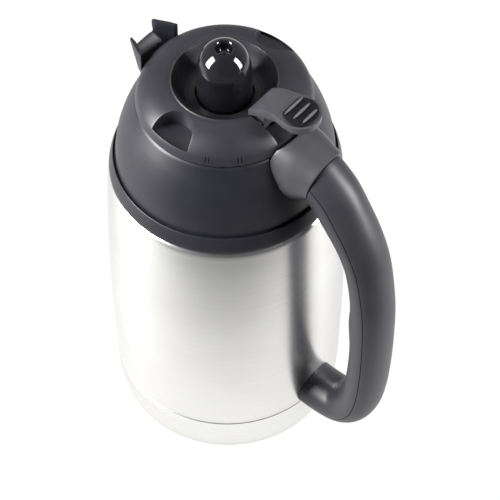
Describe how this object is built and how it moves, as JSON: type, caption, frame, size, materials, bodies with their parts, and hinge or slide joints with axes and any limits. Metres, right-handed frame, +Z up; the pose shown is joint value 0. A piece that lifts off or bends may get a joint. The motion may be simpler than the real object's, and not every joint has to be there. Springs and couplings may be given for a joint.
{
  "type": "thermal carafe",
  "caption": "Vacuum-insulated steel carafe with black shoulder and spout, side handle, and a stopper lid whose thumb lever lifts a pouring valve.",
  "frame": {"origin": "centre of the round foot pad, on the surface that the carafe stands on", "axes": "+Z up along the vessel's axis, +X toward the handle and thumb lever, -X toward the spout"},
  "size_m": [0.1862, 0.1368, 0.291],
  "materials": {
    "brushed_steel": "brushed stainless steel",
    "black_plastic": "fine matte moulded plastic",
    "gloss_knob": "polished black plastic",
    "grey_plastic": "satin dark grey plastic",
    "black_rubber": "matte rubber",
    "silicone_seal": "food-grade silicone",
    "fastener_steel": "plain stainless steel"
  },
  "bodies": {
    "root": {"base_pad": "black_rubber", "bottom_cup": "brushed_steel", "outer_shell": "brushed_steel", "inner_flask": "brushed_steel", "evacuation_seal": "fastener_steel", "getter_capsule": "fastener_steel", "collar_ring": "black_plastic", "neck_gasket": "silicone_seal", "pour_collar": "black_plastic", "shoulder_cover": "black_plastic", "handle_bracket": "grey_plastic", "handle_grip": "black_plastic", "handle_inner_cover": "black_plastic", "bracket_screw_1": "fastener_steel", "bracket_screw_2": "fastener_steel", "foot_plate": "fastener_steel", "foot_screw": "fastener_steel"},
    "stopper_seal": {"stopper_gasket": "silicone_seal"},
    "lid": {"lid_cap": "black_plastic", "lid_liner": "black_plastic", "stopper_body": "black_plastic", "lid_screw_1": "fastener_steel", "lid_screw_2": "fastener_steel", "lid_screw_3": "fastener_steel", "lever_pin": "fastener_steel", "valve_spring": "fastener_steel"},
    "lever": {"thumb_lever": "black_plastic", "lever_pad": "black_rubber"},
    "valve": {"knob": "gloss_knob", "valve_stem": "fastener_steel", "valve_disc": "black_plastic", "valve_seal": "silicone_seal"}
  },
  "joints": [
    {"name": "lid_lift", "type": "slide", "parent": "root", "child": "stopper_seal", "axis": [0, 0, 1], "range_m": [0, 0.09]},
    {"name": "lid_turn", "type": "hinge", "parent": "stopper_seal", "child": "lid", "pos_m": [0, 0, 0.251], "axis": [0, 0, 1], "range_deg": [0, 90]},
    {"name": "lever_press", "type": "hinge", "parent": "lid", "child": "lever", "pos_m": [0.031, 0, 0.2625], "axis": [0, 1, 0], "range_deg": [0, 10], "stiffness_Nm_per_rad": 0.25, "springref_deg": -11.46},
    {"name": "valve_lift", "type": "slide", "parent": "lid", "child": "valve", "axis": [0, 0, 1], "range_m": [0, 0.0033], "deforming": ["valve_spring"]}
  ],
  "couplings": [
    {"joint": "valve_lift", "follows": "lever_press", "m_per_rad": 0.0185}
  ]
}
